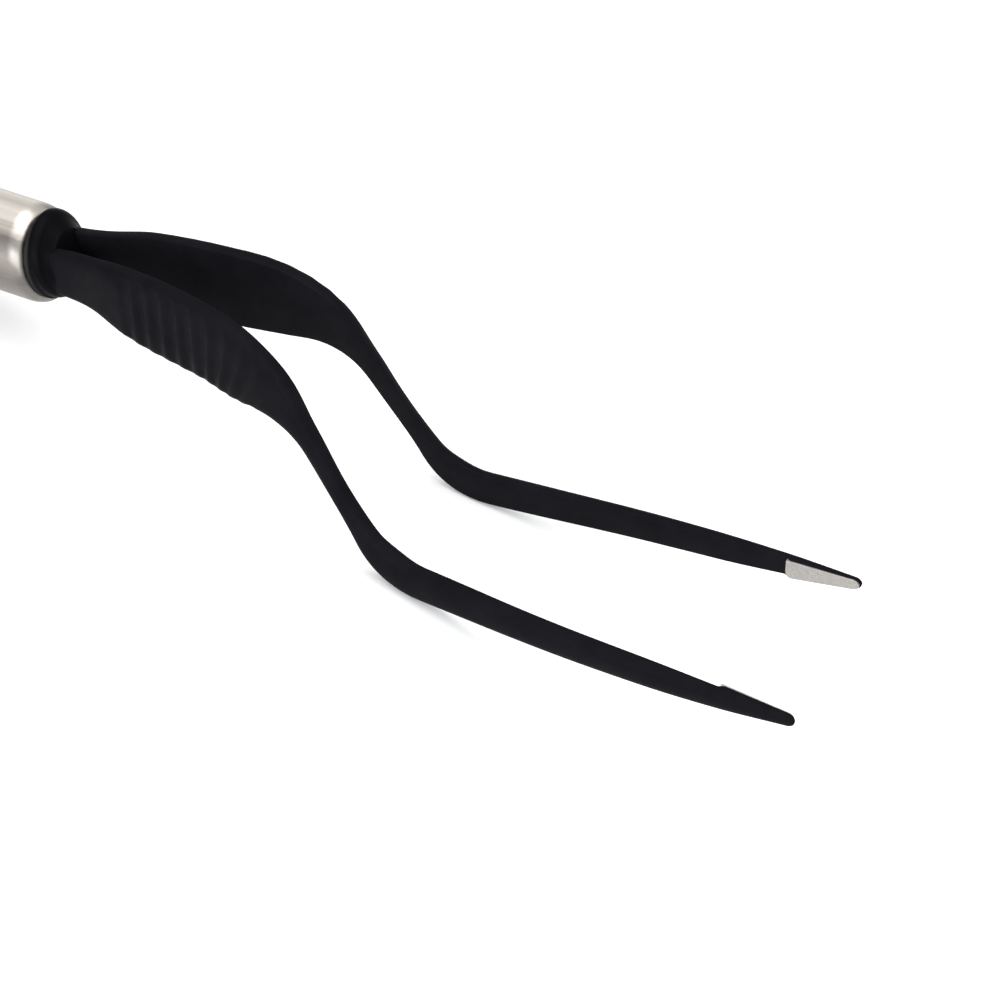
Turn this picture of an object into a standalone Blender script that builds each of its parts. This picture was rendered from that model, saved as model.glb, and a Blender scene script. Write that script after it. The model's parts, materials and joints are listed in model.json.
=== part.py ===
"""Insulated bayonet tweezers, as the separate pieces that they come apart into.

Tool frame: the origin is the centre of the collar's front face, +X runs forward to the tips, +Y to the
left arm and +Z up. Lengths are written in millimetres in that frame. The finished tool stands on a
table, on its two heels and the rear edge of its barrel, with the middle of its base at the origin.
"""

import math

import bmesh
import bpy
import numpy as np
from mathutils import Matrix, Vector

MM = 0.001

# Arm centre line, in the tool's X-Z plane: knee and heel are the corners that the two bends round off.
KNEE = (32.1, 0.0)
HEEL = (47.0, -24.4)
TIP = (100.0, -21.3)
KNEE_RADIUS = 19.0
HEEL_RADIUS = 9.0

# Arm profiles: (length along the centre line, size), joined by smooth curves.
ABOVE = ((-3.0, 2.9), (0.9, 3.6), (4.7, 4.2), (9.4, 5.1), (15.7, 5.4), (23.5, 5.05), (31.4, 3.75),
         (38.5, 1.4), (45.0, 1.2), (52.0, 1.7), (58.5, 2.95), (63.0, 2.85), (76.0, 2.35), (93.0, 1.9),
         (101.3, 1.45), (111.0, 0.8))
BELOW = ((-3.0, 2.9), (0.9, 3.05), (4.7, 3.0), (7.6, 3.9), (10.0, 4.85), (15.7, 5.5), (23.5, 5.75),
         (28.0, 5.2), (34.0, 2.7), (38.5, 1.7), (45.0, 1.45), (52.0, 1.15), (60.0, 1.85), (76.0, 2.05),
         (93.0, 1.95), (101.3, 1.5), (111.0, 0.65))
INNER = ((-3.0, 1.7), (0.0, 1.7), (7.9, 2.7), (18.9, 4.1), (31.4, 6.2), (45.0, 7.5), (58.5, 8.3),
         (84.7, 10.5), (111.0, 11.6))
THICK = ((-3.0, 1.9), (2.0, 1.9), (9.5, 2.3), (25.0, 2.5), (34.0, 2.3), (45.0, 1.8), (58.5, 2.1),
         (84.0, 1.9), (101.0, 1.5), (111.0, 0.75))
SQUARE = ((-3.0, 4.0), (27.0, 4.0), (40.0, 2.4), (111.0, 2.4))
EDGE_BREAK = 0.3
ARM_REAR = -2.4
TIP_ROUND = 0.9

# Ribs moulded across the outside of the finger grip
RIB_COUNT = 10
RIB_START = 9.6
RIB_PITCH = 2.25
RIB_DEPTH = 0.35
RIB_TOP = 0.85

# Contact tip: the bare metal end, which stands proud of the coat's inner face
PAD_LENGTH = 9.2
PAD_RAISE = (0.42, 0.1)
PAD_RAMP = 0.9
PAD_RIM = 0.22
PAD_WRAP = 0.25
PAD_CORNER = (0.8, 1.2)
PAD_PROUD = 0.08

COAT = 0.42
FIT = 0.1
GAP = 0.3

# Handle: barrel, collar and rear insulator, all turned about the tool's X axis. The barrel's mouth and the
# collar's bead lean back at the top by RAKE, and the bead stands a little high.
BARREL_R = 6.0
BORE_R = 4.7
BARREL_FRONT = -3.45
BARREL_LENGTH = 43.45
BARREL_REAR = BARREL_FRONT - BARREL_LENGTH
MOUTH = (1.8, 0.9)
RAKE = 0.24
BEAD_R = 5.0
BEAD_RISE = 0.75
SPIGOT_R = 4.5
GASKET = 0.5
FLANGE = 3.0
FLANGE_R = 5.6
REAR_FACE = BARREL_REAR - GASKET - 0.1 - FLANGE

# Inside the handle
TANG_Y = 2.65
TANG_THICK = 0.95
TANG_HALF_HEIGHT = 2.1
TANG_REAR = -32.0
TAIL_REAR = -36.5
TAIL_HALF_HEIGHT = 0.4
CORE_FRONT = -9.8
CORE_REAR = -37.6
DOWEL_X = (-15.5, -25.5)
DOWEL_R = 0.7
FERRULE_X = (-33.2, -40.2)
FERRULE_R = 1.0
FERRULE_BORE = 0.75
SLEEVE_X = (-32.9, -40.5)
SLEEVE_R = 1.32
SLEEVE_BORE = 1.08
PIN_R = 1.0
PIN_SHANK_R = 0.62
PIN_SHANK = (-37.2, -40.9)
PIN_REAR = REAR_FACE - 11.0
PLUG_FRONT = -40.9
SCREW_X = BARREL_REAR + 2.6
SCREW_R = 0.75
PIVOT_X = -1.2

SIDES = (("left", 1.0), ("right", -1.0))


def clear_scene():
    for obj in list(bpy.data.objects):
        bpy.data.objects.remove(obj)


def collection(name):
    made = bpy.data.collections.new(name)
    bpy.context.scene.collection.children.link(made)
    return made


def material(name, colour, roughness, metallic):
    made = bpy.data.materials.new(name)
    made.use_nodes = True
    shader = made.node_tree.nodes["Principled BSDF"]
    shader.inputs["Base Color"].default_value = (*colour, 1.0)
    shader.inputs["Roughness"].default_value = roughness
    shader.inputs["Metallic"].default_value = metallic
    return made


def through(points, at):
    """Monotone cubic curve through (length, size) points, read at the length `at`."""
    x, y = np.array(points, dtype=float).T
    step = np.diff(x)
    rise = np.diff(y) / step
    slope = np.zeros_like(y)
    slope[0] = rise[0]
    slope[-1] = rise[-1]
    for i in range(1, len(x) - 1):
        if rise[i - 1] * rise[i] > 0:
            before = 2 * step[i] + step[i - 1]
            after = step[i] + 2 * step[i - 1]
            slope[i] = (before + after) / (before / rise[i - 1] + after / rise[i])
    i = int(np.clip(np.searchsorted(x, at) - 1, 0, len(step) - 1))
    t = (at - x[i]) / step[i]
    return float(
        (1 + 2 * t) * (1 - t) ** 2 * y[i]
        + t * (1 - t) ** 2 * step[i] * slope[i]
        + t * t * (3 - 2 * t) * y[i + 1]
        + t * t * (t - 1) * step[i] * slope[i + 1]
    )


def smooth_size(points, at):
    """The same curve averaged over a short length, which takes the last unevenness out of it."""
    return (through(points, at - 1.5) + 2 * through(points, at) + through(points, at + 1.5)) / 4


def heading(start, end):
    return math.atan2(end[1] - start[1], end[0] - start[0])


def centre_line_legs():
    """The centre line as (length, start slope, turn) legs, from the collar's face to the tip."""
    grip, ramp, reach = heading((0.0, 0.0), KNEE), heading(KNEE, HEEL), heading(HEEL, TIP)
    knee_cut = KNEE_RADIUS * math.tan(abs(ramp - grip) / 2)
    heel_cut = HEEL_RADIUS * math.tan(abs(reach - ramp) / 2)
    return (
        (math.dist((0.0, 0.0), KNEE) - knee_cut, grip, 0.0),
        (KNEE_RADIUS * abs(ramp - grip), grip, ramp - grip),
        (math.dist(KNEE, HEEL) - knee_cut - heel_cut, ramp, 0.0),
        (HEEL_RADIUS * abs(reach - ramp), ramp, reach - ramp),
        (math.dist(HEEL, TIP) - heel_cut, reach, 0.0),
    )


LEGS = centre_line_legs()
ARM_LENGTH = sum(leg[0] for leg in LEGS)
PAD_START = ARM_LENGTH - PAD_LENGTH


def centre_line(s):
    """Point (x, z) and slope of the centre line at the length s."""
    x = z = 0.0
    left = s
    for length, slope, turn in LEGS:
        last = length == LEGS[-1][0] and slope == LEGS[-1][1]
        run = left if last else min(left, length)
        bend = turn * run / length
        chord = run if turn == 0.0 else 2 * length / turn * math.sin(bend / 2)
        x += chord * math.cos(slope + bend / 2)
        z += chord * math.sin(slope + bend / 2)
        left -= run
        if left <= 0.0 or last:
            return x, z, slope + bend
    return x, z, slope


def tip_scale(s):
    """How far the section has closed in at the length s, for the rounded end."""
    into = max(0.0, (s - (ARM_LENGTH - TIP_ROUND)) / TIP_ROUND)
    return math.sqrt(max(0.0, 1.0 - into * into))


def contact_face(s):
    """Distance of the contact tip's flat inner face from the tool's middle plane, at the length s."""
    start, end = (through(INNER, at) - raised for at, raised in zip((PAD_START, ARM_LENGTH), PAD_RAISE))
    return start + (end - start) * (s - PAD_START) / PAD_LENGTH - PAD_PROUD


def pad_rise(s):
    """How far the coat stands in at the length s to carry the contact tip: nothing before it."""
    t = min(1.0, max(0.0, (s - PAD_START + 0.4 * PAD_RAMP) / PAD_RAMP))
    return (through(INNER, s) - contact_face(s) - PAD_PROUD) * t * t * (3 - 2 * t)


def rib_groove(s):
    """0 on the crest of a rib or off the ribs, 1 at the bottom of a groove."""
    turn = (s - RIB_START) / RIB_PITCH
    if turn < 0.0 or turn > RIB_COUNT:
        return 0.0
    return 0.5 - 0.5 * math.cos(2 * math.pi * turn)


def ring(s, side, wall, points, ribs=False):
    """Section of an arm at the length s, as points in the tool frame.

    The section is a D: flat towards the other arm, round or square-shouldered outside. At the contact
    tip its flat side stands further in, on straight shoulders. `wall` moves the whole surface in, and a
    negative wall moves it out.
    """
    x, z, slope = centre_line(s)
    close = tip_scale(s)
    above = smooth_size(ABOVE, s) * close - wall
    below = smooth_size(BELOW, s) * close - wall
    rise = pad_rise(s)
    half = through(THICK, s) / 2
    middle = through(INNER, s) + half
    half = half * (0.35 + 0.65 * close) - wall
    power = 2.0 / through(SQUARE, s)
    edge = min(EDGE_BREAK, 0.4 * half)
    groove = rib_groove(s) * RIB_DEPTH if ribs else 0.0
    corner = max(0.0, 1.0 - edge / min(above, below))
    shoulder = -half + 1.5 * edge
    section = [(above * corner, -half - rise), (above, -half + edge - rise)]
    for step in range(points):
        angle = math.pi * step / (points - 1)
        across = math.copysign(abs(math.cos(angle)) ** power, math.cos(angle))
        out = abs(math.sin(angle)) ** power
        up = across * (above if across > 0 else below)
        reach = shoulder + out * (half - shoulder)
        if across < RIB_TOP:
            reach -= groove * out * (0.4 if across < -0.8 else 1.0)
        section.append((up, reach))
    section += [(-below, -half + edge - rise), (-below * corner, -half - rise)]
    return [
        Vector((x - math.sin(slope) * up, side * (middle + reach), z + math.cos(slope) * up))
        for up, reach in section
    ]


def lengths(start, stretches):
    """Lengths from start on, even within each (end, largest spacing) stretch."""
    marks = [start]
    for end, spacing in stretches:
        count = max(1, math.ceil((end - marks[-1]) / spacing))
        marks += list(np.linspace(marks[-1], end, count + 1))[1:]
    return marks


def outside_marks():
    """Closer together on the ribs, at the step of the contact tip and round the arm's end."""
    return lengths(ARM_REAR, (
        (RIB_START, 2.2),
        (RIB_START + RIB_COUNT * RIB_PITCH, RIB_PITCH / 4),
        (62.0, 2.0),
        (PAD_START - 0.5, 4.5),
        (PAD_START + 0.7, 0.3),
        (ARM_LENGTH - TIP_ROUND, 3.0),
        (ARM_LENGTH - 0.02, TIP_ROUND / 5),
    ))


def inside_marks(end):
    return lengths(ARM_REAR, ((8.0, 2.6), (62.0, 3.0), (end, 5.5)))


def skin(mesh, rings):
    """Quads between successive rings. Returns the rings as vertices."""
    rows = [[mesh.verts.new(point * MM) for point in one] for one in rings]
    for row, after in zip(rows, rows[1:]):
        for i in range(len(row)):
            j = (i + 1) % len(row)
            mesh.faces.new((row[i], row[j], after[j], after[i]))
    return rows


def bridge(mesh, row, after):
    for i in range(len(row)):
        j = (i + 1) % len(row)
        mesh.faces.new((row[i], row[j], after[j], after[i]))


def solid_from(mesh, name, look, home):
    """A new object from a bmesh, faces pointing out."""
    bmesh.ops.recalc_face_normals(mesh, faces=mesh.faces)
    data = bpy.data.meshes.new(name)
    mesh.to_mesh(data)
    mesh.free()
    data.materials.append(look)
    obj = bpy.data.objects.new(name, data)
    home.objects.link(obj)
    return obj


def loft(name, rings, look, home):
    """Closed solid through a list of rings."""
    mesh = bmesh.new()
    rows = skin(mesh, rings)
    mesh.faces.new(reversed(rows[0]))
    mesh.faces.new(rows[-1])
    return solid_from(mesh, name, look, home)


def bake(obj):
    """Turns an object's modifiers into its mesh."""
    graph = bpy.context.evaluated_depsgraph_get()
    baked = bpy.data.meshes.new_from_object(obj.evaluated_get(graph))
    obj.modifiers.clear()
    obj.data = baked


def cut(obj, cutters):
    """Takes the cutters out of an object, and removes them."""
    for cutter in cutters:
        trim = obj.modifiers.new("cut", "BOOLEAN")
        trim.operation = "DIFFERENCE"
        trim.solver = "EXACT"
        trim.object = cutter
    bpy.context.view_layer.update()
    bake(obj)
    for cutter in cutters:
        bpy.data.objects.remove(cutter)


def turned(name, profile, steps, look, home, centre=(0.0, 0.0)):
    """Solid turned about a line along X through (y, z) = centre, from (x, radius) points, front to rear.

    A profile that starts off the axis closes on itself, and makes a ring.
    """
    mesh = bmesh.new()
    points = [mesh.verts.new((radius * MM, 0.0, x * MM)) for x, radius in profile]
    for start, end in zip(points, points[1:]):
        mesh.edges.new((start, end))
    if profile[0][1] > 0.0:
        mesh.edges.new((points[-1], points[0]))
    data = bpy.data.meshes.new(name)
    mesh.to_mesh(data)
    mesh.free()
    data.materials.append(look)
    obj = bpy.data.objects.new(name, data)
    home.objects.link(obj)
    screw = obj.modifiers.new("turn", "SCREW")
    screw.axis = "Z"
    screw.steps = steps
    screw.render_steps = steps
    screw.use_merge_vertices = True
    screw.merge_threshold = 0.00001
    bpy.context.view_layer.update()
    bake(obj)
    lay_down = Matrix.Rotation(math.radians(90), 4, "Y")
    obj.data.transform(Matrix.Translation((0.0, centre[0] * MM, centre[1] * MM)) @ lay_down)
    face_out(obj)
    return obj


def face_out(obj):
    """Points every face of a closed mesh outwards."""
    mesh = bmesh.new()
    mesh.from_mesh(obj.data)
    bmesh.ops.recalc_face_normals(mesh, faces=mesh.faces)
    mesh.to_mesh(obj.data)
    mesh.free()


def rod(name, start, end, radius, sides, look, home):
    """Cylinder between two points of the tool frame."""
    start, end = Vector(start) * MM, Vector(end) * MM
    mesh = bmesh.new()
    along = (end - start).to_track_quat("Z", "Y").to_matrix().to_4x4()
    bmesh.ops.create_cone(
        mesh,
        cap_ends=True,
        segments=sides,
        radius1=radius * MM,
        radius2=radius * MM,
        depth=(end - start).length,
        matrix=Matrix.Translation((start + end) / 2) @ along,
    )
    return solid_from(mesh, name, look, home)


def block(name, low, high, look, home):
    """Box between two corners of the tool frame."""
    low, high = Vector(low) * MM, Vector(high) * MM
    mesh = bmesh.new()
    size = high - low
    place = Matrix.Translation((low + high) / 2) @ Matrix.Diagonal((*size, 1.0))
    bmesh.ops.create_cube(mesh, size=1.0, matrix=place)
    return solid_from(mesh, name, look, home)


def arc(centre, radii, start, end, count):
    """(x, radius) points on an ellipse arc, angles in degrees from +X."""
    return [
        (centre[0] + radii[0] * math.cos(math.radians(a)), centre[1] + radii[1] * math.sin(math.radians(a)))
        for a in np.linspace(start, end, count)
    ]


def make_coating(name, side, looks, home):
    """Moulded coat of one arm: a sleeve, open at the rear and over the contact tip's inner face."""
    mesh = bmesh.new()
    outer = [ring(s, side, 0.0, 9, ribs=True) for s in outside_marks()]
    cavity = [ring(s, side, COAT, 9) for s in inside_marks(PAD_START + 0.6)]
    outside = skin(mesh, outer)
    inside = skin(mesh, cavity)
    mesh.faces.new(outside[-1])
    mesh.faces.new(inside[-1])
    bridge(mesh, outside[0], inside[0])
    coat = solid_from(mesh, name, looks["coat"], home)
    pocket = loft("pocket", contact_rings(side, FIT, opened=True), looks["coat"], home)
    cut(coat, [pocket])
    return coat


def contact_rings(side, grow, opened=False):
    """Sections of the contact tip, `grow` larger all round. An opened one runs out through the coat."""
    rings = []
    first, last = PAD_START - grow, ARM_LENGTH - PAD_WRAP + grow
    for s in lengths(first, ((first + PAD_CORNER[0], 0.4), (last - TIP_ROUND, 1.8), (last - 0.04, 0.2))):
        x, z, slope = centre_line(s)
        close = tip_scale(s + PAD_WRAP - grow)
        lead = max(0.0, 1.0 - (s - first) / PAD_CORNER[0])
        above = (smooth_size(ABOVE, s) - PAD_RIM) * close + grow
        below = (smooth_size(BELOW, s) - PAD_RIM) * close + grow - PAD_CORNER[1] * lead
        face = contact_face(s)
        back = through(INNER, s) + through(THICK, s) - COAT + grow
        front = face - 1.5 if opened else face
        section = [(above, front), (above, face + 0.45 * (back - face))]
        section += [(0.6 * above, back), (-0.6 * below, back)]
        section += [(-below, face + 0.45 * (back - face)), (-below, front)]
        rings.append(
            [
                Vector((x - math.sin(slope) * up, side * across, z + math.cos(slope) * up))
                for up, across in section
            ]
        )
    return rings


def make_arm(word, side, looks, home):
    """Coat, spring steel blade and contact tip of one arm."""
    coat = make_coating(f"{word}_coating", side, looks, home)
    blade_rings = [ring(s, side, COAT + FIT, 7) for s in inside_marks(PAD_START - GAP / 2)]
    blade = loft(f"{word}_blade", blade_rings, looks["steel"], home)
    tip = loft(f"{word}_contact_tip", contact_rings(side, 0.0), looks["tip"], home)
    return [coat, blade, tip]


def make_tang(word, side, looks, home):
    """Rear of one arm, held between the core halves: a flat strip with a narrow tail and two dowel holes."""
    low, high = side * TANG_Y - TANG_THICK / 2, side * TANG_Y + TANG_THICK / 2
    outline = [
        (ARM_REAR - GAP, TANG_HALF_HEIGHT),
        (TANG_REAR, TANG_HALF_HEIGHT),
        (TANG_REAR - 1.0, TAIL_HALF_HEIGHT),
        (TAIL_REAR, TAIL_HALF_HEIGHT),
        (TAIL_REAR, -TAIL_HALF_HEIGHT),
        (TANG_REAR - 1.0, -TAIL_HALF_HEIGHT),
        (TANG_REAR, -TANG_HALF_HEIGHT),
        (ARM_REAR - GAP, -TANG_HALF_HEIGHT),
    ]
    rings = [[Vector((x, y, z)) for x, z in outline] for y in (low, high)]
    tang = loft(f"{word}_tang", rings, looks["steel"], home)
    holes = [
        rod("hole", (x, low - 1.0, 0.0), (x, high + 1.0, 0.0), DOWEL_R + FIT, 16, looks["steel"], home)
        for x in DOWEL_X
    ]
    cut(tang, holes)
    return tang


def rake(obj, behind, rise=0.0):
    """Leans the part of a piece in front of `behind` back by RAKE, and lifts it, most at the top.

    Right at `behind`, only the rim outside the spigot is lifted.
    """
    for vertex in obj.data.vertices:
        x, y, z = vertex.co / MM
        if x > behind:
            rim = min(1.0, max(0.0, (math.hypot(y, z) - SPIGOT_R) / 0.4))
            share = 1.0 if x > behind + 0.12 else rim
            lift = share * rise * (1.0 + 0.13 * z)
            vertex.co = Vector((x - RAKE * z, y, z + lift)) * MM


def make_barrel(looks, home):
    """Steel tube with a rounded, raked mouth and a tapped hole for the lock screw."""
    front, rear, rim = BARREL_FRONT, BARREL_REAR, 0.3
    long, high = MOUTH
    profile = arc((front - long, BARREL_R - high), MOUTH, 0, 90, 5)
    profile += arc((rear + rim, BARREL_R - rim), (rim, rim), 90, 180, 4)
    profile += [(rear, BORE_R), (front, BORE_R)]
    barrel = turned("barrel", profile, 48, looks["barrel"], home)
    rake(barrel, front - long - 0.1)
    hole = rod("hole", (SCREW_X, 0, -3.0), (SCREW_X, 0, -7.0), SCREW_R + FIT, 16, looks["barrel"], home)
    cut(barrel, [hole])
    return barrel


def make_collar(looks, home):
    """Insulating collar: a raked bead with a domed face and a spigot, with a slot for each arm."""
    shoulder = BARREL_FRONT + GASKET + 0.1
    profile = [(0.0, 0.0), (0.0, 2.6), (0.0, 3.3)]
    profile += arc((shoulder + 0.5, BEAD_R - 0.9), (1.0, 0.9), 20, 90, 5)
    profile += [(shoulder + 0.1, BEAD_R - 0.03), (shoulder, BEAD_R - 0.15)]
    profile += [(shoulder, SPIGOT_R), (CORE_FRONT + GAP, SPIGOT_R), (CORE_FRONT + GAP, 0.0)]
    collar = turned("front_collar", profile, 48, looks["collar"], home)
    rake(collar, shoulder - 0.1, BEAD_RISE)
    cutters = []
    for _, side in SIDES:
        marks = (ARM_REAR - GAP, -1.6, -0.8, 0.4, 2.2)
        slot = loft("slot", [ring(s, side, -GAP, 9) for s in marks], looks["collar"], home)
        half = TANG_THICK / 2 + FIT
        low = (CORE_FRONT - 1.0, side * TANG_Y - half, -TANG_HALF_HEIGHT - FIT)
        high = (ARM_REAR, side * TANG_Y + half, TANG_HALF_HEIGHT + FIT)
        cutters += [slot, block("slot", low, high, looks["collar"], home)]
    cut(collar, cutters)
    return collar


def gasket(name, front, looks, home):
    """Flat rubber washer between the barrel's end and the black part that closes it."""
    outer, inner = BARREL_R - MOUTH[1] - 0.05, SPIGOT_R + FIT
    profile = [(front, outer), (front - GASKET, outer), (front - GASKET, inner), (front, inner)]
    return turned(name, profile, 40, looks["rubber"], home)


def make_core(name, up, looks, home):
    """One moulded half of the insulating core, with channels for the tangs, dowels and crimped joints."""
    half = turned(name, [(CORE_FRONT, 0), (CORE_FRONT, SPIGOT_R), (CORE_REAR, SPIGOT_R), (CORE_REAR, 0)],
                  48, looks["core"], home)
    away = 6.0 * up
    low = (CORE_REAR - 1.0, -6.0, min(-away, FIT * up))
    high = (CORE_FRONT + 1.0, 6.0, max(-away, FIT * up))
    cutters = [block("half", low, high, looks["core"], home)]
    for _, side in SIDES:
        wide = TANG_THICK / 2 + FIT
        tall = TANG_HALF_HEIGHT + FIT
        low = (TANG_REAR - 1.0, side * TANG_Y - wide, -tall)
        high = (CORE_FRONT + 1.0, side * TANG_Y + wide, tall)
        cutters.append(block("channel", low, high, looks["core"], home))
        ends = ((TANG_REAR - 0.5, side * TANG_Y, 0.0), (CORE_REAR - 1.0, side * TANG_Y, 0.0))
        cutters.append(rod("channel", *ends, SLEEVE_R + FIT, 20, looks["core"], home))
    for x in DOWEL_X:
        cutters.append(rod("hole", (x, -6.0, 0.0), (x, 6.0, 0.0), DOWEL_R + FIT, 16, looks["core"], home))
    cut(half, cutters)
    return half


def make_plug(looks, home):
    """Rear insulator: a plug in the barrel's bore with a flange, and a hole for each contact pin."""
    behind = BARREL_REAR - GASKET - 0.1
    profile = [(PLUG_FRONT, 0.0), (PLUG_FRONT, SPIGOT_R - 0.4), (PLUG_FRONT - 0.4, SPIGOT_R)]
    profile += [(behind, SPIGOT_R), (behind, FLANGE_R), (REAR_FACE + 0.6, FLANGE_R)]
    profile += [(REAR_FACE, FLANGE_R - 0.6), (REAR_FACE, 0.0)]
    plug = turned("rear_insulator", profile, 48, looks["core"], home)
    cutters = []
    for _, side in SIDES:
        y = side * TANG_Y
        ends = ((PLUG_FRONT + 1.0, y, 0.0), (REAR_FACE - 1.0, y, 0.0))
        cutters.append(rod("hole", *ends, PIN_R + FIT, 20, looks["core"], home))
    low_end = (SCREW_X, 0.0, -6.0)
    cutters.append(rod("hole", (SCREW_X, 0.0, -2.4), low_end, SCREW_R + FIT, 16, looks["core"], home))
    cut(plug, cutters)
    return plug


def make_joint(word, side, looks, home):
    """Contact pin, crimp ferrule and insulating sleeve behind one tang."""
    line = (side * TANG_Y, 0.0)
    front, rear = FERRULE_X
    tube = [(front, FERRULE_R), (rear, FERRULE_R), (rear, FERRULE_BORE), (front, FERRULE_BORE)]
    ferrule = turned(f"{word}_ferrule", tube, 20, looks["tinned"], home, line)
    front, rear = SLEEVE_X
    tube = [(front, SLEEVE_R), (rear, SLEEVE_R), (rear, SLEEVE_BORE), (front, SLEEVE_BORE)]
    sleeve = turned(f"{word}_sleeve", tube, 20, looks["sleeve"], home, line)
    shank_front, shank_rear = PIN_SHANK
    profile = [(shank_front, 0.0), (shank_front, PIN_SHANK_R), (shank_rear, PIN_SHANK_R), (shank_rear, PIN_R)]
    profile += arc((PIN_REAR + PIN_R, 0.0), (PIN_R, PIN_R), 90, 180, 5)[:-1] + [(PIN_REAR, 0.0)]
    pin = turned(f"{word}_contact_pin", profile, 20, looks["pin"], home, line)
    return [ferrule, sleeve, pin]


def make_lock_screw(looks, home):
    """Grub screw with a hexagon socket, flush with the underside of the barrel."""
    top, bottom = (SCREW_X, 0.0, -2.6), (SCREW_X, 0.0, 0.15 - BARREL_R)
    screw = rod("lock_screw", top, bottom, SCREW_R, 20, looks["steel"], home)
    ends = ((SCREW_X, 0.0, 1.1 - BARREL_R), (SCREW_X, 0.0, -7.0))
    socket = rod("socket", *ends, 0.4, 6, looks["steel"], home)
    cut(screw, [socket])
    return screw


def resting_pitch(pieces):
    """Angle of the table under the tool: the line from the barrel's rear edge that just touches the heels."""
    edge = Vector((BARREL_REAR + 0.3, 0.0, -BARREL_R)) * MM
    steepest = 0.0
    for obj in pieces:
        if obj.name.endswith("_coating"):
            for vertex in obj.data.vertices:
                away = vertex.co - edge
                steepest = max(steepest, math.atan2(-away.z, away.x))
    return steepest


def stand_on_table(root, pieces):
    """Pitches the tool to lie on its heels and barrel, and puts the middle of its base at the origin."""
    root.rotation_euler = (0.0, -resting_pitch(pieces), 0.0)
    bpy.context.view_layer.update()
    corners = [root.matrix_world @ vertex.co for obj in pieces for vertex in obj.data.vertices]
    low = [min(c[i] for c in corners) for i in range(3)]
    high = [max(c[i] for c in corners) for i in range(3)]
    root.location = (-(low[0] + high[0]) / 2, -(low[1] + high[1]) / 2, -low[2])
    bpy.context.view_layer.update()


def hang_on_hinge(arm, word, side, root, home):
    """Parents an arm's pieces to an empty on its hinge axis, with their meshes moved to suit."""
    hinge = bpy.data.objects.new(f"{word}_hinge", None)
    home.objects.link(hinge)
    hinge.parent = root
    hinge.location = Vector((PIVOT_X, side * TANG_Y, 0.0)) * MM
    for obj in arm:
        obj.data.transform(Matrix.Translation(-hinge.location))
        obj.parent = hinge


def shade(obj):
    obj.data.shade_smooth()
    obj.data.set_sharp_from_angle(angle=math.radians(35))


def main():
    clear_scene()
    home = collection("bayonet_tweezers")
    looks = {
        "coat": material("black_coat", (0.018, 0.018, 0.02), 0.42, 0.0),
        "collar": material("black_collar", (0.015, 0.015, 0.016), 0.45, 0.0),
        "steel": material("spring_steel", (0.55, 0.55, 0.56), 0.3, 1.0),
        "barrel": material("satin_steel", (0.68, 0.66, 0.64), 0.28, 1.0),
        "tip": material("bare_tip", (0.72, 0.71, 0.69), 0.38, 1.0),
        "rubber": material("black_rubber", (0.02, 0.02, 0.02), 0.7, 0.0),
        "core": material("insulator", (0.03, 0.03, 0.032), 0.5, 0.0),
        "sleeve": material("insulating_sleeve", (0.35, 0.03, 0.02), 0.5, 0.0),
        "tinned": material("tinned_ferrule", (0.75, 0.74, 0.7), 0.35, 1.0),
        "pin": material("contact_pin", (0.8, 0.62, 0.3), 0.25, 1.0),
    }
    root = bpy.data.objects.new("tool", None)
    home.objects.link(root)
    pieces = [make_barrel(looks, home), make_collar(looks, home), make_plug(looks, home)]
    pieces.append(gasket("front_gasket", BARREL_FRONT + GASKET + 0.05, looks, home))
    rake(pieces[-1], BARREL_FRONT)
    pieces.append(gasket("rear_gasket", BARREL_REAR - 0.05, looks, home))
    pieces.append(make_core("core_upper", 1.0, looks, home))
    pieces.append(make_core("core_lower", -1.0, looks, home))
    for name, x in zip(("front_dowel", "rear_dowel"), DOWEL_X):
        pieces.append(rod(name, (x, -3.9, 0.0), (x, 3.9, 0.0), DOWEL_R, 16, looks["core"], home))
    pieces.append(make_lock_screw(looks, home))
    for word, side in SIDES:
        pieces.append(make_tang(word, side, looks, home))
        pieces += make_joint(word, side, looks, home)
    arms = {word: make_arm(word, side, looks, home) for word, side in SIDES}
    for obj in pieces:
        obj.parent = root
    everything = pieces + arms["left"] + arms["right"]
    for obj in everything:
        shade(obj)
    stand_on_table(root, everything)
    for word, side in SIDES:
        hang_on_hinge(arms[word], word, side, root, home)
    bpy.context.view_layer.update()


main()
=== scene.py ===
"""Insulated bayonet tweezers on a pale studio floor.

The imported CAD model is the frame. Its visible outer pieces are replaced by finer ones of the same size,
every piece gets a procedural material, and a floor, lights and a camera are added.

Lengths are written in millimetres in the tool frame: the origin is the centre of the collar's front
face, +X runs forward to the tips, +Y to the left arm and +Z up. TOOL takes that frame to the world.
"""

import json
import math

import bmesh
import bpy
import numpy as np
from mathutils import Matrix, Vector


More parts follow.
